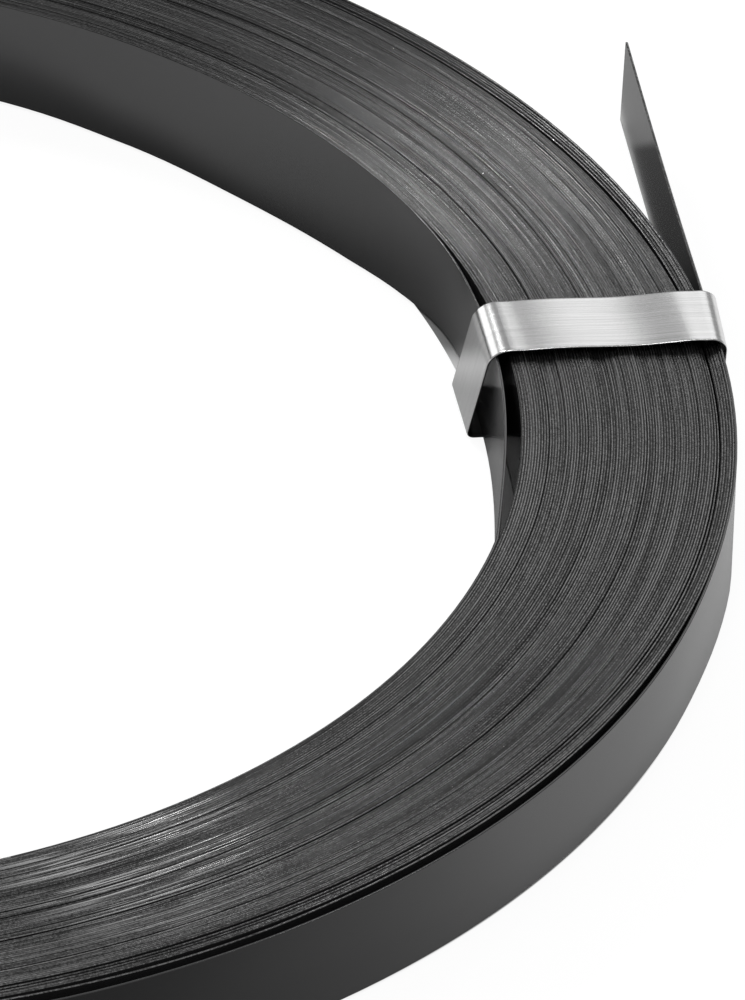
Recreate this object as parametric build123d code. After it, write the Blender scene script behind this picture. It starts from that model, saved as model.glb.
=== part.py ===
from build123d import *
import os
from math import atan2, cos, degrees, radians, sin, sqrt, tan

# A coil of steel strapping that lies on its side, tied with three bright bands.
# The Z axis is the coil's own axis, and z = 0 is the floor that the bands lie on.
# Lengths are in millimetres and angles in degrees, counted from +X towards +Y.

# The strap
strap_width = 19.0
strap_thickness = 0.40
turn_air = 0.033                 # air left between two turns
eye_radius = 133.2               # inner face of the innermost turn
bundle_turns = [11, 6, 8, 5, 5, 5, 6, 10, 9, 7, 5]   # turns that stand together, eye to rim

# The ends of the coil, where the edges of the turns show
groove_depth = 0.55              # between two bundles of turns
end_unevenness = 0.30            # how much deeper the lowest bundle lies than the highest
end_recess = 0.06                # the highest bundle under the edge of the outermost turn

# The outermost turn, which stands off the coil for a stretch and ends in a free tail
rim_stand_off = 1.30
rim_stand_from = -15.0
rim_stand_to = -97.0
tail_angle = 9.3                 # where the tail leaves the coil, on a tangent
tail_top_length = 94.0           # along the upper edge
tail_bottom_length = 101.0       # along the lower edge: the end is cut on a slant

# The innermost turn, which stands off the coil beside the first tie: angle, distance inwards
eye_stand_off = [(-7.0, 1.55), (-0.5, 2.20), (10.0, 1.70)]
eye_stand_from = -14.0
eye_stand_to = 26.0

# The tie bands
tie_count = 3
tie_angle = 12.7                 # the first one
tie_thickness = 0.35
tie_width = 13.6
tie_lean = 20.0                  # the loop leans along the coil
tie_turn = -3.5                  # its top run is turned a little out of the radius
tie_clearance = 0.15             # least distance between a band and the strap's corners
tie_top_gap_eye = 0.90           # the top run stands clear of the turns
tie_top_gap_rim = 1.30
tie_leg_splay = 1.00             # the inner leg's foot lies further into the eye
tie_bend_eye_top = 2.40
tie_bend_rim_top = 2.20
tie_bend_eye_foot = 0.90
tie_bend_rim_foot = 0.40

seat = 0.20                      # how far a fused turn reaches into the coil
reach = 5.0                      # by which a cutting shape passes what it cuts

turn_pitch = strap_thickness + turn_air
coil_radius = eye_radius + sum(bundle_turns) * turn_pitch
rim_radius = coil_radius + strap_thickness
coil_bottom = tie_thickness
coil_top = coil_bottom + strap_width


def polar(radius, angle):
    return (radius * cos(radians(angle)), radius * sin(radians(angle)))


def ring_arc(radius, start, end):
    middle = (start + end) / 2
    return ThreePointArc(polar(radius, start), polar(radius, middle), polar(radius, end))


def end_profile(phase):
    """The ends of the bundles from eye to rim, as (radius, depth below the strap's edge)."""
    points = []
    radius = eye_radius
    for number, turns in enumerate(bundle_turns):
        wall = radius
        radius += turns * turn_pitch
        crest_share = 0.25 if number % 2 else 0.75
        sunk = end_recess + end_unevenness * (1 + sin(1.9 * number + phase)) / 2
        if number == 0:
            points.append((wall, sunk))
        points.append((wall + crest_share * (radius - wall), sunk))
        points.append((radius, sunk + groove_depth - end_recess))
    points[-1] = (radius, sunk)
    return points


def turned_coil():
    """The wound body: one turned solid with its eye, and the bundles of turns on both ends."""
    upper = [(radius, coil_top - depth) for radius, depth in end_profile(0.0)]
    lower = [(radius, coil_bottom + depth) for radius, depth in end_profile(1.3)]
    section = make_face(Polyline(*upper, *reversed(lower), close=True))
    return revolve(Plane.XZ * section, Axis.Z)


def outermost_turn():
    """The last turn round the rim, with the crescent gap behind it and the free tail."""
    normal = Vector(*polar(1, tail_angle))
    along = Vector(-normal.Y, normal.X)
    leaves = rim_radius * normal
    tip = leaves + (tail_bottom_length + reach) * along
    # The tail's inner face runs out through the rim a little after the tail's root
    root_run = sqrt(rim_radius**2 - coil_radius**2)
    root_angle = tail_angle + degrees(atan2(root_run, coil_radius))
    stand_middle = (rim_stand_from + rim_stand_to) / 2

    outline = make_face(Curve() + [
        ring_arc(rim_radius, tail_angle, rim_stand_from),
        ThreePointArc(polar(rim_radius, rim_stand_from),
                      polar(rim_radius + rim_stand_off, stand_middle),
                      polar(rim_radius, rim_stand_to)),
        ring_arc(rim_radius, rim_stand_to, root_angle - 360),
        Line(polar(rim_radius, root_angle), tip - strap_thickness * normal),
        Line(tip - strap_thickness * normal, tip),
        Line(tip, leaves),
    ])
    gap = make_face(Curve() + [
        ThreePointArc(polar(coil_radius, rim_stand_from),
                      polar(coil_radius + rim_stand_off, stand_middle),
                      polar(coil_radius, rim_stand_to)),
        Line(polar(coil_radius, rim_stand_to), polar(coil_radius - 2 * seat, rim_stand_to)),
        ring_arc(coil_radius - 2 * seat, rim_stand_to, rim_stand_from),
        Line(polar(coil_radius - 2 * seat, rim_stand_from), polar(coil_radius, rim_stand_from)),
    ])
    plan = outline - Circle(coil_radius - seat) - gap
    turn = Pos(0, 0, coil_bottom) * extrude(plan, strap_width)

    slant = (tail_bottom_length - tail_top_length) / strap_width
    past_tip = tail_bottom_length + 2 * reach
    waste = make_face(Polyline(
        (tail_bottom_length + slant * reach, coil_bottom - reach),
        (tail_top_length - slant * reach, coil_top + reach),
        (past_tip, coil_top + reach),
        (past_tip, coil_bottom - reach),
        close=True))
    tail_plane = Plane(origin=leaves, x_dir=along, z_dir=normal)
    return turn - extrude(tail_plane * waste, reach, both=True)


def innermost_turn():
    """The first turn, where it stands off the coil into the eye."""
    line = [(eye_stand_from, -seat)] + eye_stand_off + [(eye_stand_to, -seat)]
    eye_face = [polar(eye_radius - lift, angle) for angle, lift in line]
    coil_face = [polar(eye_radius - lift + strap_thickness, angle) for angle, lift in line]
    plan = make_face(Curve() + [
        Spline(*eye_face),
        Line(eye_face[-1], coil_face[-1]),
        Spline(*reversed(coil_face)),
        Line(coil_face[0], eye_face[0]),
    ])
    return Pos(0, 0, coil_bottom) * extrude(plan, strap_width)


def leg_gap(top_bend, top_gap, foot_bend):
    """How far a leg stands off the strap, so that its two bends clear the strap's corners."""
    gap = foot_bend + tie_clearance
    if top_bend > top_gap:
        corner = (top_bend - tie_clearance)**2 - (top_bend - top_gap)**2
        gap = max(gap, top_bend - sqrt(corner))
    return gap


def tie_band(angle, eye_side, rim_side_top, rim_side_foot):
    """A closed band round the coil's section. The sides are radii that the strap reaches there."""
    eye_gap = leg_gap(tie_bend_eye_top, tie_top_gap_eye, tie_bend_eye_foot - tie_leg_splay)
    rim_gap = leg_gap(tie_bend_rim_top, tie_top_gap_rim, tie_bend_rim_foot)
    inner = eye_side - eye_gap
    outer = rim_side_top + rim_gap
    inside = make_face(Polyline(
        (inner - tie_leg_splay, coil_bottom),
        (inner, coil_top + tie_top_gap_eye),
        (outer, coil_top + tie_top_gap_rim),
        (rim_side_foot + rim_gap, coil_bottom),
        close=True))
    corners = inside.vertices().sort_by(Axis.X)
    feet = corners.sort_by(Axis.Y)[:2].sort_by(Axis.X)
    heads = corners.sort_by(Axis.Y)[2:].sort_by(Axis.X)
    inside = fillet(feet[0], tie_bend_eye_foot)
    inside = fillet(nearest(inside, heads[0]), tie_bend_eye_top)
    inside = fillet(nearest(inside, heads[1]), tie_bend_rim_top)
    inside = fillet(nearest(inside, feet[1]), tie_bend_rim_foot)
    loop = offset(inside, tie_thickness, kind=Kind.ARC) - inside

    length = outer - inner + 4 * tie_width
    tube = extrude(Plane.XZ * loop, 2 * strap_width + tie_width, both=True)
    slab = Box(length, tie_width, length)
    middle = Pos((inner + outer) / 2, 0, coil_top + tie_top_gap_eye)
    band = tube & (middle * Rot(0, 0, tie_turn) * Rot(tie_lean, 0, 0) * slab)
    return Rot(0, 0, angle) * band


def nearest(face, vertex):
    return face.vertices().sort_by_distance(vertex)[0]


os.makedirs("parts", exist_ok=True)

strapping = turned_coil() + outermost_turn() + innermost_turn()
export_step(strapping, "parts/strapping.step")

# A band's side edge reaches this far along the coil, at its top run and at its feet
top_reach = tie_width / 2 / cos(radians(tie_lean))
foot_reach = top_reach + (strap_width + tie_top_gap_eye) * tan(radians(tie_lean))

tail_swing = radians(tie_angle - tail_angle)
tail_at_top = rim_radius / cos(tail_swing) + top_reach * tan(tail_swing)
tail_at_foot = rim_radius / cos(tail_swing) + foot_reach * tan(tail_swing)
turn_at_tie = eye_radius - eye_stand_off[-1][1]
eye_at_tie = sqrt(eye_radius**2 - foot_reach**2)

for number in range(tie_count):
    angle = tie_angle + number * 360 / tie_count
    if number == 0:
        band = tie_band(angle, turn_at_tie, tail_at_top, tail_at_foot)
    else:
        band = tie_band(angle, eye_at_tie, rim_radius, rim_radius)
    export_step(band, f"parts/tie_band_{number + 1}.step")
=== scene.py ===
import math

import bpy
import numpy as np
from mathutils import Matrix, Vector


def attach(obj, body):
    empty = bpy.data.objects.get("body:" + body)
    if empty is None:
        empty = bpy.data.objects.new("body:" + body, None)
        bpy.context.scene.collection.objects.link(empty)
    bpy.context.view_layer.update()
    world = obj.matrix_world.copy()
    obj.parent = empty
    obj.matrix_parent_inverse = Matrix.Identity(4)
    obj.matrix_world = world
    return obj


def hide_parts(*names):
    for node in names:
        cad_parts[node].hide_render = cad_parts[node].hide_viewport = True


# A coil of dark steel strapping on a pale floor, tied with three bright bands.
# Lengths below are in millimetres and angles in degrees, unless a note says otherwise.

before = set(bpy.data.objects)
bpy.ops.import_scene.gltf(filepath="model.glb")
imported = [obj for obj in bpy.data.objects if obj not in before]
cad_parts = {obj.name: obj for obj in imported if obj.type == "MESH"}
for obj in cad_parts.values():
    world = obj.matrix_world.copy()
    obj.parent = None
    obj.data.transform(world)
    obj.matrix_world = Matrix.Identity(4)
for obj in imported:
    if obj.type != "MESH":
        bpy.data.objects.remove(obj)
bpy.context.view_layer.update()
mm = 0.001
print("packed model loaded")


def easeThrough(points, at):
    # a smooth curve through a few (place, value) pairs, level beyond them
    places, values = (np.array(row, float) for row in zip(*points))
    slopes = np.gradient(values, places)
    slopes[0] = slopes[-1] = 0.0
    i = np.clip(np.searchsorted(places, at) - 1, 0, len(places) - 2)
    span = places[i + 1] - places[i]
    t = np.clip((at - places[i]) / span, 0.0, 1.0)
    start = values[i] * (2 * t**3 - 3 * t**2 + 1) + slopes[i] * span * (t**3 - 2 * t**2 + t)
    return start + values[i + 1] * (3 * t**2 - 2 * t**3) + slopes[i + 1] * span * (t**3 - t**2)


def smoothStep(x):
    x = np.clip(x, 0.0, 1.0)
    return x * x * (3 - 2 * x)


def drift(seed, knotsPerTurn, at):
    # a slow random wander between -1 and 1 along the strap
    mostTurns = 90
    draws = np.random.default_rng(seed).uniform(-1, 1, int(mostTurns * knotsPerTurn) + 4)
    place = (at + 1.0) * knotsPerTurn
    i = np.floor(place).astype(int)
    t = smoothStep(place - i)
    return draws[i] * (1 - t) + draws[i + 1] * t


def wander(seeds, knots, shares, at):
    # a slow drift and a quick one together
    return sum(share * drift(seed, knot, at) for seed, knot, share in zip(seeds, knots, shares))


class Shade:
    # one node socket, so that shader maths reads as plain sums
    def __init__(self, tree, socket=None):
        self.tree = tree
        self.socket = socket

    def make(self, kind, settings=None, inputs=None, output=0):
        node = self.tree.nodes.new("ShaderNode" + kind)
        for name, value in (settings or {}).items():
            setattr(node, name, value)
        for name, value in (inputs or {}).items():
            if isinstance(value, Shade):
                self.tree.links.new(value.socket, node.inputs[name])
            else:
                node.inputs[name].default_value = value
        return Shade(self.tree, node.outputs[output] if node.outputs else None)

    def sum(self, operation, first, second):
        kind = "Math"
        if "VECTOR" in (getattr(x, "socket", None) and x.socket.type for x in (first, second)):
            kind = "VectorMath"
        return self.make(kind, {"operation": operation}, {0: first, 1: second})

    def __add__(self, other):
        return self.sum("ADD", self, other)

    def __radd__(self, other):
        return self.sum("ADD", other, self)

    def __sub__(self, other):
        return self.sum("SUBTRACT", self, other)

    def __rsub__(self, other):
        return self.sum("SUBTRACT", other, self)

    def __mul__(self, other):
        return self.sum("MULTIPLY", self, other)

    def __rmul__(self, other):
        return self.sum("MULTIPLY", other, self)

    def between(self, low, high):
        # 0 below low, 1 above high, smooth between
        return self.make("MapRange", {"interpolation_type": "SMOOTHSTEP"},
                         {"Value": self, "From Min": low, "From Max": high})

    def mixed(self, first, second):
        # this value picks between two colours
        return self.make("Mix", {"data_type": "RGBA"}, {0: self, 6: first, 7: second}, 2)

    def measured(self, operation, other=(0.0, 0.0, 0.0)):
        # one number from this place: LENGTH, or DISTANCE or DOT_PRODUCT with another
        return self.make("VectorMath", {"operation": operation}, {0: self, 1: other}, 1)

    def axis(self, number):
        return self.make("SeparateXYZ", None, {"Vector": self}, number)

    def noise(self, scale, detail, roughness, dimensions="3D"):
        # cloudy noise at this place, about 0.5 on average
        return self.make("TexNoise", {"noise_dimensions": dimensions},
                         {"Vector": self, "Scale": scale, "Detail": detail, "Roughness": roughness})


def newMaterial(name):
    material = bpy.data.materials.new(name)
    material.use_nodes = True
    material.node_tree.nodes.clear()
    return material, Shade(material.node_tree)


def grey(value):
    return (value, value, value, 1.0)


def meshPiece(name, points, faces, materials, faceMaterials, maps, sharpCorners, perRing, node):
    # points come ring by ring, perRing of them in each
    mesh = bpy.data.meshes.new(name)
    mesh.from_pydata((points * mm).tolist(), [], [list(face) for face in faces])
    for material in materials:
        mesh.materials.append(material)
    mesh.polygons.foreach_set("material_index", faceMaterials)
    mesh.polygons.foreach_set("use_smooth", [True] * len(faces))
    for mapName, places in maps.items():
        layer = mesh.uv_layers.new(name=mapName)
        layer.uv.foreach_set("vector", np.asarray(places, np.float32).ravel())
    # a piece with sharp corners is open, and the rims of its two ends are sharp too
    ends = np.empty(len(mesh.edges) * 2, int)
    mesh.edges.foreach_get("vertices", ends)
    ends = ends.reshape(-1, 2)
    corner = ends % perRing
    isSharp = (corner[:, 0] == corner[:, 1]) & np.isin(corner[:, 0], sharpCorners)
    if sharpCorners:
        isSharp |= (ends < perRing).all(1) | (ends >= len(points) - perRing).all(1)
    mesh.attributes.new("sharp_edge", "BOOLEAN", "EDGE").data.foreach_set("value", isSharp)
    mesh.validate()
    piece = bpy.data.objects.new(name, mesh)
    bpy.context.scene.collection.objects.link(piece)
    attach(piece, "root")
    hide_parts(node)
    return piece


photoCamera = {
    "place": (111.065, -1787.505, 1158.930),
    "forward": (0.0, 0.84056, -0.54172),
    "up": (-0.03655, 0.54136, 0.84000),
    "lens": 495.77,
    "sensor": 36,
    "clip": (0.05, 60),         # in metres
}


def placeCamera():
    camera = bpy.data.objects.new("camera", bpy.data.cameras.new("camera"))
    bpy.context.scene.collection.objects.link(camera)
    forward = Vector(photoCamera["forward"]).normalized()
    right = forward.cross(Vector(photoCamera["up"])).normalized()
    up = right.cross(forward)
    turned = Matrix((right, up, -forward)).transposed().to_4x4()
    camera.matrix_world = Matrix.Translation(Vector(photoCamera["place"]) * mm) @ turned
    camera.data.lens = photoCamera["lens"]
    camera.data.sensor_width = photoCamera["sensor"]
    camera.data.clip_start, camera.data.clip_end = photoCamera["clip"]
    bpy.context.scene.camera = camera


placeCamera()
print("camera placed")


strap = {
    "width": 19.0,
    "thickness": 0.40,
    "bottom": 0.35,             # height of the lower edges, on the bands' lower runs
    "eyeRadius": 133.2,         # inner face of the innermost turn
    "rimRadius": 166.941,       # outer face of the outermost turn
    "outerRadius": 166.711,     # middle of the strap where the tail leaves
    "tailAngle": 9.3,
    "tailTop": 94.0,            # the tail's end is cut on a slant
    "tailBottom": 101.0,
    "tailBow": 0.30,
    "tailLean": 1.0,            # its lower edge lies further out
    "tailLeansBy": 0.5,         # share of its length over which that grows
    "pitch": 0.4327,
    "pitchTurns": 77.03,        # pitches from the tail's root in to the eye
    "turns": 77.61,             # from the tail's root to the inner end
    "closest": 0.4035,          # least pitch that keeps two turns apart
    "eyeTurns": 0.95,           # the stretch at the inner end that is the innermost turn
    "piecesPerTurn": 240,
    "tailPieces": 40,
    "chamferAcross": 0.09,      # the slit edges are rounded
    "chamferDown": 0.09,
    "edgeTilt": 4.0,            # the slit edges lean a little, here and there
    "tiltKnots": (2.1, 11.0),   # knots of that wander in a turn, slow and quick
    "tiltShares": (0.6, 0.4),
    "tiltSeeds": (31, 32),
    "footTiltSeed": 41,         # the lower edges wander slowly alone
    "recess": 0.06,             # the highest bundle under the edge of the outermost turn
    "unevenness": 0.28,         # how much deeper the lowest bundle lies than the highest
    "levelStep": 1.9,           # step of the sine that gives each bundle its level
    "levelPhases": (0.0, 1.3),  # for the upper and the lower edges
    "edgeWander": 0.075,        # each turn's edge rises and falls a little
    "wanderKnots": (2.3, 9.0),
    "wanderShares": (0.7, 0.3),
    "wanderSeeds": (11, 21),    # for the upper and the lower edges
    "sunkAfter": (0.75, 0.5),   # the outermost turn isn't sunk: first turn that is, and how soon
    "leastSunk": 0.01,
    "gapLeft": 0.12,            # share of a gap between bundles that stays open all round
    "gapOpens": 0.4,            # turns over which a gap opens
    "levelChanges": 0.6,        # turns over which one bundle's level goes over to the next one's
    "splitAt": 38.5,            # the mesh is made in two pieces
    "paintedRim": 0.62,         # the paint covers the edges for this much of a turn before the tail
    "paintedEye": (0.41, 0.615),   # and between these parts of a turn from the inner end
    # how far round the section each corner lies, from the lower edge's inner corner
    "girth": [0, 0.22, 0.33, 19.34, 19.45, 19.67, 19.78, 38.79, 38.90],
    "runShift": 0.01,           # metres of pattern for each degree, which sets the two pieces apart
    # in the map for a bake, the walls of the first and last rows are this many times as tall as the rest
    "wallRows": 24,
    "rowMargin": 0.12,
    "sideMargin": 0.002,
}

# where bundles of turns part: turn counted from the rim, widest gap, angle where it is widest, and
# how far that reaches
bundleGaps = [
    (5.5, 0.36, 33.0, 26.0), (6.5, 0.22, -60.0, 22.0), (12.5, 0.26, -62.0, 25.0),
    (21.5, 0.12, 40.0, 20.0), (31.5, 0.10, -95.0, 40.0), (37.5, 0.22, -75.0, 20.0),
    (42.5, 0.10, 75.0, 30.0), (47.5, 0.09, 25.0, 16.0), (52.5, 0.16, 150.0, 60.0),
    (60.5, 0.10, -65.0, 20.0), (66.5, 0.32, 54.0, 20.0),
]

# where turns stand off the coil: (angle, distance), for the upper edges of the outermost turn and of
# the next, and for the innermost turn
rimStandTop = [(-98, 0.0), (-90, 0.20), (-84, 0.70), (-74, 2.30), (-66, 2.80), (-60, 2.60), (-50, 2.20),
               (-40, 1.80), (-30, 1.30), (-20, 0.75), (-12, 0.15), (-6, 0.0)]
secondStandTop = [(-84, 0.0), (-72, 0.35), (-60, 0.75), (-55, 0.70), (-50, 0.45), (-45, 0.35),
                  (-38, 0.22), (-28, 0.08), (-18, 0.0)]
eyeStand = [(-12.8, 0.0), (-10.9, 0.55), (-8.4, 1.30), (-5.4, 1.85), (-0.5, 2.20), (4.6, 2.10),
            (9.7, 1.72), (18.0, 0.95), (26.0, 0.0)]
# the lower edges lie a little differently: the innermost turn's stands further off, all the turns'
# stand closer together where the coil leans, and its rim isn't quite round there
eyeStandFoot = [(-12.8, 0.0), (-8.0, 0.45), (11.0, 0.55), (18.0, 0.0), (36.0, 0.0), (40.0, 0.7),
                (48.0, 1.5), (59.0, 0.4), (66.0, 0.0)]
footTight = [(12, 0.0), (18, 0.12), (23, 0.55), (27, 0.74), (31.5, 0.44), (37, 0.0), (60, 0.0),
             (69, 0.50), (82, 0.50), (105, 0.0)]
footRim = [(-66, 0.0), (-58, -0.04), (-53, -0.20), (-48, -0.36), (-40, -0.62), (-33, -0.86),
           (-28, -0.92), (-20, -0.75), (-13, -0.66), (-8, -0.25), (-4, 0.08), (0, 0.0)]
# how far the innermost turn's upper edge is sunk beside the first tie
eyeStandSunk = [(6, 0.0), (14, 0.45), (24, 0.45), (34, 0.0)]

# turns that sank into the coil's end: turn counted from the rim, depth, turns wide, angle, reach
sunkTurns = [(5.8, 0.85, 1.1, 40.0, 28.0), (4.1, 0.18, 0.4, 22.0, 14.0), (65.2, 0.45, 1.7, 54.0, 22.0),
             (14.5, 0.22, 1.0, -58.0, 22.0), (4.6, 0.25, 0.5, -55.0, 25.0), (44.0, 0.14, 0.8, -50.0, 30.0)]


def turnAngle(turn):
    return strap["tailAngle"] - 360.0 * turn


def halfTurn(angle):
    # the same angle, brought between -180 and 180
    return (angle + 180.0) % 360.0 - 180.0


def middleRadius(turn):
    whole = strap["pitch"] * strap["pitchTurns"]
    spent = np.zeros_like(turn)
    steps = np.zeros_like(turn)
    for place, widest, at, reach in bundleGaps:
        apart = halfTurn(turnAngle(turn) - at)
        gap = widest * (strap["gapLeft"] + (1 - strap["gapLeft"]) * np.exp(-0.5 * (apart / reach) ** 2))
        spent += gap
        steps += gap * smoothStep((turn - place) / strap["gapOpens"] + 0.5)
    pitch = np.maximum((whole - spent) / strap["pitchTurns"], strap["closest"])
    radius = strap["outerRadius"] - pitch * turn - steps

    innermost = turn > strap["turns"] - strap["eyeTurns"]
    return radius - np.where(innermost, easeThrough(eyeStand, halfTurn(turnAngle(turn))), 0.0)


def sunk(turn, phase, seed):
    # how far a turn's edge lies below the outermost turn's
    count = len(bundleGaps)
    heights = [(1 + math.sin(strap["levelStep"] * (count - number) + phase)) / 2
               for number in range(count + 1)]
    level = np.full_like(turn, heights[0])
    for number, gap in enumerate(bundleGaps):
        rise = heights[number + 1] - heights[number]
        level += rise * smoothStep((turn - gap[0]) / strap["levelChanges"] + 0.5)
    depth = strap["recess"] + strap["unevenness"] * level
    for place, most, wide, at, reach in sunkTurns:
        apart = halfTurn(turnAngle(turn) - at)
        depth += most * np.exp(-((turn - place) / wide) ** 2 - 0.5 * (apart / reach) ** 2)
    seeds = (seed, seed + 1)
    depth += strap["edgeWander"] * wander(seeds, strap["wanderKnots"], strap["wanderShares"], turn)
    first, soon = strap["sunkAfter"]
    return np.maximum(depth, strap["leastSunk"]) * smoothStep((turn - first) / soon)


def strapRings(turns, tail):
    # one ring of eight corners for each step along the strap, from the eye to the tail's tip
    angle = np.radians(turnAngle(turns))
    near = halfTurn(turnAngle(turns))
    radius = middleRadius(turns)
    isRim = turns < 0.5
    isSecond = (turns > 0.5) & (turns < 1.5)
    isEye = turns > strap["turns"] - strap["eyeTurns"]
    topLift = np.where(isRim, easeThrough(rimStandTop, near), 0.0)
    topLift += np.where(isSecond, easeThrough(secondStandTop, near), 0.0)
    closest = strap["outerRadius"] - strap["closest"] * turns
    footLift = np.maximum(easeThrough(footTight, near), 0.0) * np.maximum(closest - radius, 0.0)
    footLift += easeThrough(footRim, near) * (1 - turns / strap["turns"])
    footLift -= np.where(isEye, easeThrough(eyeStandFoot, near), 0.0)
    out = np.stack([np.cos(angle), np.sin(angle)], 1)
    half = strap["thickness"] / 2
    flat = half - strap["chamferAcross"]
    down = strap["chamferDown"]
    tilt = np.tan(np.radians(strap["edgeTilt"])) * flat
    topPhase, bottomPhase = strap["levelPhases"]
    topSeed, bottomSeed = strap["wanderSeeds"]
    top = strap["bottom"] + strap["width"] - sunk(turns, topPhase, topSeed)
    top -= np.where(isEye, easeThrough(eyeStandSunk, near), (topLift - footLift) ** 2 / (2 * strap["width"]))
    bottom = strap["bottom"] + np.where(isEye, 0.0, sunk(turns, bottomPhase, bottomSeed))
    topTilt = tilt * wander(strap["tiltSeeds"], strap["tiltKnots"], strap["tiltShares"], turns)
    bottomTilt = tilt * drift(strap["footTiltSeed"], strap["tiltKnots"][0], turns)
    corners = [(-flat, bottom + bottomTilt), (flat, bottom - bottomTilt), (half, bottom + down),
               (half, top - down), (flat, top - topTilt), (-flat, top + topTilt), (-half, top - down),
               (-half, bottom + down)]
    rings = np.empty((len(turns), 8, 3))
    for number, (across, height) in enumerate(corners):
        lift = topLift if number in (3, 4, 5, 6) else footLift
        rings[:, number, :2] = out * (radius + lift + across)[:, None]
        rings[:, number, 2] = height
    if tail:
        root = rings[-1]
        along = np.array([-out[-1, 1], out[-1, 0], 0.0])
        share = (root[:, 2] - strap["bottom"]) / strap["width"]
        length = strap["tailBottom"] + (strap["tailTop"] - strap["tailBottom"]) * share
        steps = np.linspace(0, 1, strap["tailPieces"] + 1)[1:]
        straight = root[None] + steps[:, None, None] * length[None, :, None] * along
        straight[:, :, :2] -= strap["tailBow"] * np.sin(math.pi * steps)[:, None, None] * out[-1]
        lean = strap["tailLean"] * smoothStep(steps / strap["tailLeansBy"])[:, None] * (1 - share)[None]
        straight[:, :, :2] += lean[:, :, None] * out[-1]
        rings = np.concatenate([rings, straight])
    return rings


def strapPiece(name, first, last, tail, materials):
    # first and last are turns counted inwards from the tail's root; first is the inner one
    perTurn = strap["piecesPerTurn"]
    steps = int(round((first - last) * perTurn))
    rings = strapRings(np.linspace(first, last, steps + 1), tail)
    count = len(rings)
    index = np.arange(count * 8).reshape(count, 8)
    nextCorner = np.roll(index, -1, 1)
    faces = np.stack([index[:-1], index[1:], nextCorner[1:], nextCorner[:-1]], 2).reshape(-1, 4)
    isWall = np.tile([0, 0, 1, 0, 0, 0, 1, 0], (count - 1, 1))
    # the paint runs over the edges of the outermost and innermost turns where they stand off
    painted = round(strap["paintedRim"] * perTurn)
    isWall[steps - painted:steps] |= last == 0
    start, end = (round(share * perTurn) for share in strap["paintedEye"])
    isWall[start:end] |= first == strap["turns"]
    faceMaterials = np.concatenate([1 - isWall.ravel(), [1, 1]]).astype(int)
    everyFace = faces.tolist() + [index[0].tolist(), index[-1, ::-1].tolist()]

    # one map follows the strap's length and girth, for the materials; the other lays the turns out in
    # rows, for a bake
    stride = np.linalg.norm(np.diff(rings[:, 3], axis=0), axis=1)
    run = np.concatenate([[0], np.cumsum(stride)]) * mm + turnAngle(first) * strap["runShift"]
    around = np.array(strap["girth"]) * mm
    runMap = np.empty((count - 1, 8, 4, 2))
    bakeMap = np.empty((count - 1, 8, 4, 2))
    row = np.arange(count - 1) // perTurn
    place = (np.arange(count - 1) % perTurn) / perTurn
    weight = np.ones((row[-1] + 1, 8))
    weight[0, 6] = weight[0, 2] = weight[-1, 2] = weight[-1, 6] = strap["wallRows"]
    start = np.concatenate([[0], np.cumsum(weight.ravel())])
    start /= start[-1]
    rowMargin, sideMargin = strap["rowMargin"], strap["sideMargin"]
    for corner, (step, side) in enumerate([(0, 0), (1, 0), (1, 1), (0, 1)]):
        runMap[:, :, corner, 0] = run[step:count - 1 + step, None]
        runMap[:, :, corner, 1] = around[None, side:8 + side]
        bakeMap[:, :, corner, 0] = sideMargin + (1 - 2 * sideMargin) * (place[:, None] + step / perTurn)
        low = start[row[:, None] * 8 + np.arange(8)]
        high = start[row[:, None] * 8 + np.arange(8) + 1]
        bakeMap[:, :, corner, 1] = low + (high - low) * (rowMargin + (1 - 2 * rowMargin) * side)
    # the two end faces take a speck at the foot of each map
    caps = np.tile([[0.5, 0.0]], (16, 1)) + np.random.default_rng(5).uniform(0, 0.001, (16, 2))
    maps = {
        "run": np.concatenate([runMap.reshape(-1, 2), caps]),
        "OFBake": np.concatenate([bakeMap.reshape(-1, 2), caps]),
    }
    return meshPiece(name, rings.reshape(-1, 3), everyFace, materials, faceMaterials, maps, [2, 3, 6, 7],
                     8, "strapping")


paint = {
    "colour": 0.022,
    "blue": 1.03,               # its blue is this much stronger
    "cloud": 0.15,              # share by which the colour wanders
    "cloudScale": 14.0,
    "cloudTones": (0.3, 0.7),   # noise that is dark and noise that is light
    "roughness": 0.17,
    "roughnessWanders": 0.07,
    "reflects": 0.90,
    "grainScale": 1400.0,
    "grain": 0.006,
    "grainDepth": 0.04,
}
slitEdge = {
    "dark": 0.05,
    "light": 0.24,
    "tones": (0.42, 0.58),
    "toneShares": {"bands": 0.18, "turnTone": 0.26, "slow": 0.05, "fine": 0.12, "grit": 0.39},
    "metal": 0.9,
    "roughness": 0.26,
    "roughnessWanders": 0.14,
    "grainDepth": 0.03,
    "relief": {"fine": 0.32, "grit": 0.10, "streaks": 1.5},   # shares of that depth
    # scales of the noises, for each metre: along the turns, and across them or round the strap's section
    "bands": (12.0, 1200.0),
    "turnTone": (18.0, 2300.0),
    "slow": (6.0, 0.0),
    "fine": (180.0, 9000.0),
    "streaks": (55.0, 4200.0),
    "grit": 2400.0,
    "corner": 0.02,             # the paint left on the corners, which is also painted shade in the grooves between turns
    "bareLine": (0.11, 9.67),   # the barest line on the lower edge, and half the way round to the upper one's
    "paintFrom": (0.06, 0.17),  # the paint begins and is full this far from it
    "paintLeast": 0.55,         # share of it that is left everywhere
    "paintTones": (0.40, 0.60),
    # painted highlight: the colour of the glints, and the patch where they lie
    "glint": 1.0,
    "glintPolish": 0.15,        # a streak is this much smoother
    "streakTones": (0.52, 0.60),
    "streakBands": (0.40, 0.54),   # bands of turns without streaks and with them
    "highlightPatchAt": (76.5, -117.5, 19.0),
    "highlightPatchReach": (6.0, 26.0),
    "speck": 0.5,
    "speckScale": 340.0,
    "speckSize": (0.02, 0.045),
}


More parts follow.
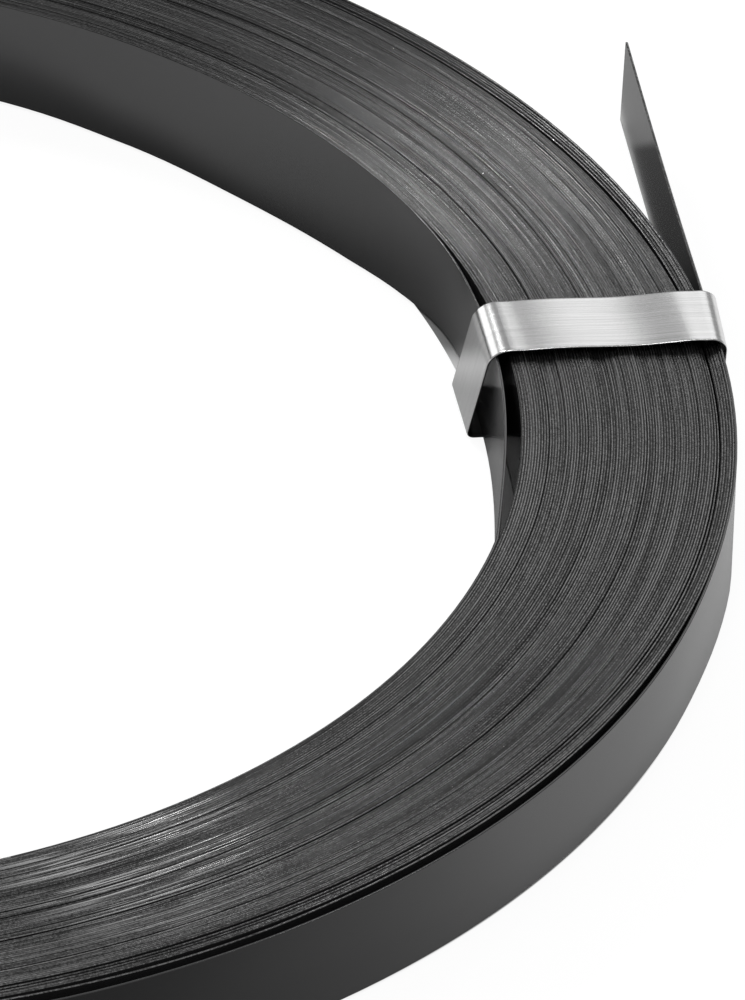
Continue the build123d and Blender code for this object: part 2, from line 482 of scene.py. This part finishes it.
def paintedFace():
    material, shade = newMaterial("paintedFace")
    place = shade.make("TexCoord", None, None, 3)
    cloud = place.noise(paint["cloudScale"], 3.0, 0.5)
    tone = cloud.between(*paint["cloudTones"])
    low, high = paint["colour"] * (1 - paint["cloud"]), paint["colour"] * (1 + paint["cloud"])
    grain = place.noise(paint["grainScale"], 2.0, 0.6)
    surface = shade.make("BsdfPrincipled", None, {
        "Base Color": tone.mixed((low, low, low * paint["blue"], 1), (high, high, high * paint["blue"], 1)),
        "Roughness": paint["roughness"] + paint["roughnessWanders"] * (cloud - 0.5),
        "Specular IOR Level": paint["reflects"],
        "Normal": shade.make("Bump", None, {"Strength": paint["grain"],
                                            "Distance": paint["grainDepth"] * mm, "Height": grain}),
    })
    shade.make("OutputMaterial", None, {"Surface": surface})
    return material


def slitEdgeSteel():
    material, shade = newMaterial("slitEdgeSteel")
    run = shade.make("UVMap", {"uv_map": "run"})
    place = shade.make("TexCoord", None, None, 3)
    fromAxis = (place * (1.0, 1.0, 0.0)).measured("LENGTH")

    def ringNoise(name, detail, roughness):
        # long along the turns and short across them
        along, across = slitEdge[name]
        rings = shade.make("CombineXYZ", None, {"Z": fromAxis * across})
        return (place * (along, along, 0.0) + rings).noise(1.0, detail, roughness)

    def runNoise(name, detail, roughness):
        # follows the strap's own length and section
        return (run * (*slitEdge[name], 0.0)).noise(1.0, detail, roughness, "2D")

    # bands of turns differ in tone, and so does each turn along its length
    bands = ringNoise("bands", 3.0, 0.65)
    turnTone = ringNoise("turnTone", 2.0, 0.7)
    slow = runNoise("slow", 2.0, 0.6)
    fine = runNoise("fine", 2.0, 0.6)
    grit = place.noise(slitEdge["grit"], 3.0, 0.65)
    share = slitEdge["toneShares"]
    tone = share["bands"] * bands + share["turnTone"] * turnTone
    tone = tone + share["slow"] * slow + share["fine"] * fine + share["grit"] * grit
    steel = tone.between(*slitEdge["tones"]).mixed(grey(slitEdge["dark"]), grey(slitEdge["light"]))
    # the corners of the edge keep their dark paint, more in some places than in others; the same darkening is
    # painted shade in the grooves between turns
    line, halfWay = (length * mm for length in slitEdge["bareLine"])
    fromLine = shade.make("Math", {"operation": "PINGPONG"}, {0: run.axis(1) - line, 1: halfWay})
    corner = fromLine.between(*(length * mm for length in slitEdge["paintFrom"]))
    least = slitEdge["paintLeast"]
    corner = corner * (least + (1 - least) * (0.5 * slow + 0.5 * bands).between(*slitEdge["paintTones"]))
    bareWithGrooveShade = corner.mixed(steel, grey(slitEdge["corner"]))
    # painted highlight: in one patch, where a lamp's highlight falls, thin streaks are painted white and made
    # smoother
    highlightPatchAt = tuple(length * mm for length in slitEdge["highlightPatchAt"])
    highlightPatch = place.measured("DISTANCE", highlightPatchAt).between(*(reach * mm for reach in slitEdge["highlightPatchReach"]))
    highlightPatch = 1.0 - highlightPatch
    streak = runNoise("streaks", 1.0, 0.5)
    glint = streak.between(*slitEdge["streakTones"]) * highlightPatch * bands.between(*slitEdge["streakBands"])
    cell = shade.make("TexVoronoi", {"feature": "F1"},
                      {"Vector": place, "Scale": slitEdge["speckScale"], "Randomness": 1.0})
    speck = 1.0 - cell.between(*slitEdge["speckSize"])
    withPaintedGlints = glint.mixed(bareWithGrooveShade, grey(slitEdge["glint"]))
    wanders = slitEdge["roughnessWanders"]
    roughness = slitEdge["roughness"] + wanders * (bands - 0.5) + wanders * (turnTone - 0.5)
    rise = slitEdge["relief"]
    height = rise["fine"] * fine + rise["grit"] * grit + rise["streaks"] * highlightPatch * streak
    surface = shade.make("BsdfPrincipled", None, {
        "Base Color": speck.mixed(withPaintedGlints, grey(slitEdge["speck"])),
        "Metallic": slitEdge["metal"],
        "Roughness": roughness - slitEdge["glintPolish"] * glint,
        "Normal": shade.make("Bump", None, {"Strength": 1.0, "Distance": slitEdge["grainDepth"] * mm,
                                            "Height": height}),
    })
    shade.make("OutputMaterial", None, {"Surface": surface})
    return material


strapMaterials = [paintedFace(), slitEdgeSteel()]
strapPiece("strap_inner_turns", strap["turns"], strap["splitAt"], False, strapMaterials)
strapPiece("strap_outer_turns", strap["splitAt"], 0.0, True, strapMaterials)
print("strap wound")


tie = {
    "count": 3,
    "angle": 12.7,
    "thickness": 0.35,
    "lean": 20.0,
    "width": 13.6,
    "turn": -3.5,
    "turnStandsOff": 1.45,      # the innermost turn stands off the coil so far at the first tie
    "topGapEye": 0.78,          # the top run stands clear of the turns
    "topGapRim": 1.10,
    "legSplay": 2.0,
    "eyeGap": 0.75,             # from the strap to the inner leg
    "rimGap": 0.58,
    # reach of each bend along its two runs: eye foot, eye top, rim top, rim foot
    "bends": [(1.0, 1.0), (3.1, 2.9), (2.6, 2.4), (0.7, 0.7)],
    "bendSteps": 12,
    "stepLength": 1.0,
    "waveMargin": 3.0,          # the top run's waves start this far from its ends
    "sag": 0.15,                # it hangs a little in its middle
    "sagRise": 0.45,            # share of the run over which that grows, and the same for the waves
    "waveRise": 0.10,
    "wave": 0.15,
    "waves": 1.43,
    "waveStart": 0.357,
    "waveShift": 0.13,          # from one band to the next
    "eyeTurn": 0.045,           # the legs aren't square to the radius
    "rimTurn": 0.10,
    "turnReach": 8.0,
    "edgeRound": 0.10,
    "edgeStrip": 0.35,          # a narrow strip of faces along each edge
}
coilTop = strap["bottom"] + strap["width"]


def roundedLoop(corners, bends, spacing):
    # a closed loop with round corners, as points and outward directions in the band's own plane
    path = []
    count = len(corners)
    for number in range(count):
        here = Vector(corners[number])
        before = (Vector(corners[number - 1]) - here).normalized()
        after = (Vector(corners[(number + 1) % count]) - here).normalized()
        reachBefore, reachAfter = bends[number]
        for step in range(tie["bendSteps"] + 1):
            t = math.radians(90) * step / tie["bendSteps"]
            path.append(here + before * (reachBefore * (1 - math.sin(t)))
                        + after * (reachAfter * (1 - math.cos(t))))
    # straight runs are cut into short lengths
    points = []
    for here, after in zip(path, path[1:] + path[:1]):
        pieces = max(1, round((after - here).length / spacing))
        points += [tuple(here.lerp(after, step / pieces)) for step in range(pieces)]
    points = np.array(points)
    way = np.roll(points, -1, 0) - np.roll(points, 1, 0)
    way /= np.linalg.norm(way, axis=1)[:, None]
    return points, np.stack([-way[:, 1], way[:, 0]], 1)


def tieBand(name, node, angle, eyeSide, rimSideTop, rimSideFoot, seed, materials):
    inner, outer = eyeSide - tie["eyeGap"], rimSideTop + tie["rimGap"]
    corners = [(inner - tie["legSplay"], strap["bottom"]), (inner, coilTop + tie["topGapEye"]),
               (outer, coilTop + tie["topGapRim"]), (rimSideFoot + tie["rimGap"], strap["bottom"])]
    path, outward = roundedLoop(corners, tie["bends"], tie["stepLength"])
    length = np.concatenate([[0], np.cumsum(np.linalg.norm(np.diff(path, axis=0), axis=1))])

    # the band's two side edges: it leans along the coil and its top run is turned a little
    lean, turned = math.radians(tie["lean"]), math.radians(tie["turn"])
    du = path[:, 0] - (inner + outer) / 2
    dz = path[:, 1] - (coilTop + tie["topGapEye"])
    edges = []
    for side in (-1, 1):
        level = (side * tie["width"] / 2 - dz * math.sin(lean)) / math.cos(lean)
        edges.append((level + du * math.sin(turned)) / math.cos(turned))

    # the section across the band: outer face, rounded edge, inner face, rounded edge
    thick, rounding, strip = tie["thickness"], tie["edgeRound"], tie["edgeStrip"]
    face = [(0, rounding), (0, strip)] + [(s, 0.0) for s in np.linspace(0.1, 0.9, 9)]
    face += [(1, -strip), (1, -rounding)]
    section = [(*place, thick) for place in face] + [(1, 0.0, thick - rounding), (1, 0.0, rounding)]
    section += [(*place, 0.0) for place in face[::-1]] + [(0, 0.0, rounding), (0, 0.0, thick - rounding)]
    share = np.clip((path[:, 0] - inner - tie["waveMargin"]) / (outer - inner - 2 * tie["waveMargin"]), 0, 1)
    onTop = np.where(path[:, 1] > coilTop, np.minimum(share, 1 - share), 0.0)
    waves = tie["waves"] * share + tie["waveStart"] + tie["waveShift"] * seed
    wave = -tie["wave"] * np.sin(2 * math.pi * waves) * smoothStep(onTop / tie["waveRise"])
    wave -= tie["sag"] * smoothStep(onTop / tie["sagRise"])
    turnOut = tie["eyeTurn"] * (1 - smoothStep((path[:, 0] - inner) / tie["turnReach"]))
    turnOut = turnOut + tie["rimTurn"] * smoothStep((path[:, 0] - outer) / tie["turnReach"] + 1)
    points = []
    for place, shift, height in section:
        v = edges[0] * (1 - place) + edges[1] * place + shift
        points.append(np.stack([path[:, 0] + outward[:, 0] * height + turnOut * v, v,
                                path[:, 1] + outward[:, 1] * height + wave], 1))
    turnZ = Matrix.Rotation(math.radians(angle), 3, "Z")
    points = np.stack(points, 1).reshape(-1, 3) @ np.array(turnZ).T

    steps, ringCount = len(path), len(section)
    # the inner face and the side edges are painted dark as shade; only the outer face and its rounded edges
    # are bright
    inPaintedShade = np.tile([0] * len(face) + [1] * (ringCount - len(face) - 1) + [0], steps)
    index = np.arange(steps * ringCount).reshape(steps, ringCount)
    nextStep = np.roll(index, -1, 0)
    faces = np.stack([index, np.roll(index, -1, 1), np.roll(nextStep, -1, 1), nextStep], 2).reshape(-1, 4)
    runLength = np.append(length, length[-1] + np.linalg.norm(path[0] - path[-1]))
    runMap = np.empty((steps, ringCount, 4, 2))
    cross = np.array([place * tie["width"] + shift for place, shift, _ in section])
    crossNext = np.roll(cross, -1)
    for corner, (step, side) in enumerate([(0, 0), (0, 1), (1, 1), (1, 0)]):
        runMap[:, :, corner, 0] = runLength[step:steps + step, None] * mm
        runMap[:, :, corner, 1] = (crossNext if side else cross)[None] * mm
    return meshPiece(name, points, faces.tolist(), materials, inPaintedShade,
                     {"run": runMap.reshape(-1, 2)}, [], ringCount, node)


brushed = {
    "dark": 0.60,
    "light": 0.80,
    "roughness": 0.21,
}
# painted shade: the colour of the bands' inside and side edges, on a rough steel
dullAndShaded = {
    "dark": 0.02,
    "light": 0.04,
    "roughness": 0.55,
}
# how the bands' steel is brushed: scales of the noises, for each metre along the band and across it
brush = {
    "fine": (40.0, 5600.0),
    "broad": (25.0, 900.0),
    "cloud": 90.0,
    "toneShares": (0.6, 0.2, 0.2),   # fine, broad and cloud
    "tones": (0.30, 0.70),
    "roughens": (0.10, 0.06),        # fine and cloud
    "depth": 0.02,
    "relief": 0.2,
}


def brushedSteel(name, bandSurface):
    material, shade = newMaterial(name)
    run = shade.make("UVMap", {"uv_map": "run"})
    fine = (run * (*brush["fine"], 0.0)).noise(1.0, 3.0, 0.7, "2D")
    broad = (run * (*brush["broad"], 0.0)).noise(1.0, 2.0, 0.5, "2D")
    cloud = shade.make("TexCoord", None, None, 3).noise(brush["cloud"], 2.0, 0.5)
    fineShare, broadShare, cloudShare = brush["toneShares"]
    tone = (fineShare * fine + broadShare * broad + cloudShare * cloud).between(*brush["tones"])
    byFine, byCloud = brush["roughens"]
    surface = shade.make("BsdfPrincipled", None, {
        "Base Color": tone.mixed(grey(bandSurface["dark"]), grey(bandSurface["light"])),
        "Metallic": 1.0,
        "Roughness": bandSurface["roughness"] + byFine * (fine - 0.5) + byCloud * (cloud - 0.5),
        "Normal": shade.make("Bump", None, {"Strength": brush["relief"], "Distance": brush["depth"] * mm,
                                            "Height": fine}),
    })
    shade.make("OutputMaterial", None, {"Surface": surface})
    return material


def tieAll():
    bandMaterials = [brushedSteel("brushedSteel", brushed), brushedSteel("paintedShadeInside", dullAndShaded)]
    eyeRadius, rimRadius = strap["eyeRadius"], strap["rimRadius"]
    lean = math.radians(tie["lean"])
    topReach = tie["width"] / 2 / math.cos(lean)
    footReach = topReach + (strap["width"] + tie["topGapEye"]) * math.tan(lean)
    swing = math.radians(tie["angle"] - strap["tailAngle"])
    for number in range(tie["count"]):
        angle = tie["angle"] + number * 360 / tie["count"]
        name, node = f"tie_{number + 1}", f"tie_band_{number + 1}"
        if number == 0:
            # the first one goes round the standing turn and the tail
            tailSide = rimRadius / math.cos(swing)
            sides = (eyeRadius - tie["turnStandsOff"], tailSide + topReach * math.tan(swing),
                     tailSide + footReach * math.tan(swing))
        else:
            sides = (math.sqrt(eyeRadius**2 - footReach**2), rimRadius, rimRadius)
        tieBand(name, node, angle, *sides, number, bandMaterials)


tieAll()
print("bands closed round the coil")


studio = {
    "world": 0.35,
    "floorSize": 14000.0,
    "floorBelow": 0.2,
    "floorGlow": 0.91,           # for the camera alone, so that the floor is white round the coil
    "floorShadowColour": 0.14,
    # the floor's colour as reflections see it: painted shade and light, darker where the coil, its tail and
    # the first band would shade it
    "floorEyeShade": (0.36, 0.76),    # painted shade of the inner wall: at the eye's rim and in its middle
    "floorEyeRightShade": 0.68,       # painted shade: share of that at the eye's right
    "floorLegShade": (0.38, 0.50, 0.85),    # painted shade by the first tie's leg: before it, beside it and behind it
    "floorWedge": (0.02, 0.13, 0.42),    # in the tail's shadow at its root and its end, and past it
    "floorOutsideLightAndShade": (0.22, 0.60, 1.0),   # painted shade and light: at the left, before the coil and at its right
    "gapCentre": (-46.5, -0.66),   # of a wide arc along the gap behind the innermost turn
    "lampsAim": (130.0, 0.0, 10.0),
}
# where those colours change over: from the axis, to the right, across (away from the camera), along
# the tail and out from it
floorPlaces = {
    "eyeRim": (132.0, 120.0),
    "eyeRight": (50.0, 95.0),
    "legRight": (95.0, 105.0),
    "legEnd": (50.0, 58.0),
    "legBefore": (15.0, 35.0),
    "legBehind": (42.0, 55.0),
    "coil": (150.0, 160.0),
    "tailWedge": (0.0, 110.0),
    "tailShadowEnd": (91.5, 95.5),
    "tailFace": (166.2, 167.2),
    "tailRoot": (20.0, 50.0),
    "outsideFront": (-165.0, -125.0),
    "outsideRight": (-135.0, -85.0),
    "footprintEye": (136.2, 136.5),   # the floor under the coil doesn't glow, so its lit colour and painted shade show there
    "footprintRim": (165.6, 166.0),
    "gapArc": (177.2, 177.3),         # nor in the gap behind the innermost turn
    "gapEye": (130.2, 130.5),
    "gapStart": (-6.0, -2.0),
}
# distances and sizes of the lamps are in metres
lamps = [
    {"name": "keyLamp", "to": (0.258, 0.475, 0.841), "distance": 1.7, "size": 0.20, "power": 0.9},
    {"name": "frontLamp", "to": (0.02, -0.35, 0.936), "distance": 1.7, "size": 0.60, "power": 8.5},
    {"name": "leftLamp", "to": (-0.47, 0.59, 0.657), "distance": 1.7, "size": 0.45, "power": 10.5},
    {"name": "lowPanel", "to": (-0.68, 0.69, 0.17), "distance": 1.5, "size": 0.60, "power": 1.15},
    {"name": "backPanel", "to": (0.25, 0.80, 0.55), "distance": 2.3, "size": 1.25, "power": 3.4},
]


def floorLightAndShade(shade):
    # the floor's colour in reflections, with its painted shade and light, and where the coil stands on it
    place = shade.make("TexCoord", None, None, 3)
    fromAxis = place.measured("LENGTH")
    right, across = place.axis(0), place.axis(1)
    tailAngle = math.radians(strap["tailAngle"])
    outFromTail = place.measured("DOT_PRODUCT", (math.cos(tailAngle), math.sin(tailAngle), 0.0))
    alongTail = place.measured("DOT_PRODUCT", (-math.sin(tailAngle), math.cos(tailAngle), 0.0))

    def beyond(value, name):
        return value.between(*(length * mm for length in floorPlaces[name]))

    def larger(first, second):
        return shade.make("Math", {"operation": "MAXIMUM"}, {0: first, 1: second})

    centreX, centreY = (length * mm for length in studio["gapCentre"])
    gap = beyond(place.measured("DISTANCE", (centreX, centreY, 0.0)), "gapArc")
    gap = gap * beyond(fromAxis, "gapEye") * beyond(across, "gapStart")
    under = larger(beyond(fromAxis, "footprintEye"), gap) * (1.0 - beyond(fromAxis, "footprintRim"))

    # painted shade in the eye: darker at its rim, to the right and by the first tie's leg
    rim, middle = studio["floorEyeShade"]
    eyeShade = rim + (middle - rim) * beyond(fromAxis, "eyeRim")
    eyeShade = eyeShade * (1.0 - (1.0 - studio["floorEyeRightShade"]) * beyond(right, "eyeRight"))
    before, beside, behind = map(grey, studio["floorLegShade"])
    legShade = beyond(across, "legBefore").mixed(before, beyond(across, "legBehind").mixed(beside, behind))
    nearLeg = beyond(right, "legRight") * (1.0 - beyond(across, "legEnd"))
    shadedEye = nearLeg.mixed(eyeShade, legShade)

    root, end, past = map(grey, studio["floorWedge"])
    shadowed = beyond(alongTail, "tailWedge").mixed(root, end)
    inWedge = beyond(alongTail, "tailShadowEnd").mixed(shadowed, past)
    # painted shade and light outside the coil: dark at the left end and before the coil, bright at its right
    left, front, side = map(grey, studio["floorOutsideLightAndShade"])
    outsideLightAndShade = beyond(across, "outsideRight").mixed(beyond(across, "outsideFront").mixed(left, front), side)
    isOpen = larger(beyond(outFromTail, "tailFace"), 1.0 - beyond(across, "tailRoot"))
    return beyond(fromAxis, "coil").mixed(shadedEye, isOpen.mixed(inWedge, outsideLightAndShade)), under


def makeFloor():
    size, level = studio["floorSize"] / 2 * mm, -studio["floorBelow"] * mm
    mesh = bpy.data.meshes.new("floor")
    mesh.from_pydata([(-size, -size, level), (size, -size, level), (size, size, level), (-size, size, level)],
                     [], [(0, 1, 2, 3)])
    floor = bpy.data.objects.new("floor", mesh)
    bpy.context.scene.collection.objects.link(floor)
    material, shade = newMaterial("paleFloor")
    seen = shade.make("LightPath", None, None, 0)
    colour, under = floorLightAndShade(shade)
    # the diffuse floor carries the painted shade and light, for reflections and under the coil
    pale = shade.make("BsdfDiffuse", None, {"Color": colour})
    thin = shade.make("BsdfDiffuse", None, {"Color": grey(studio["floorShadowColour"])})
    glow = shade.make("Emission", None, {"Color": grey(1.0), "Strength": studio["floorGlow"]})
    white = shade.make("AddShader", None, {0: thin, 1: glow})
    surface = shade.make("MixShader", None, {0: seen * (1.0 - under), 1: pale, 2: white})
    shade.make("OutputMaterial", None, {"Surface": surface})
    mesh.materials.append(material)


def makeWorld():
    world = bpy.data.worlds.new("studio")
    world.use_nodes = True
    world.node_tree.nodes.clear()
    shade = Shade(world.node_tree)
    seen = shade.make("LightPath", None, None, 0)
    dim = shade.make("Background", None, {"Color": grey(1.0), "Strength": studio["world"]})
    white = shade.make("Background", None, {"Color": grey(1.0), "Strength": 1.0})
    surface = shade.make("MixShader", None, {0: seen, 1: dim, 2: white})
    shade.make("OutputWorld", None, {"Surface": surface})
    bpy.context.scene.world = world


def makeLamps():
    aim = Vector(studio["lampsAim"]) * mm
    for lamp in lamps:
        light = bpy.data.lights.new(lamp["name"], "AREA")
        light.shape = "DISK"
        light.size = lamp["size"]
        light.energy = lamp["power"]
        holder = bpy.data.objects.new(lamp["name"], light)
        bpy.context.scene.collection.objects.link(holder)
        way = Vector(lamp["to"]).normalized()
        holder.location = aim + way * lamp["distance"]
        holder.rotation_mode = "QUATERNION"
        holder.rotation_quaternion = way.to_track_quat("Z", "Y")


makeFloor()
makeWorld()
makeLamps()
bpy.context.scene.view_settings.view_transform = "Standard"
print("studio lit")
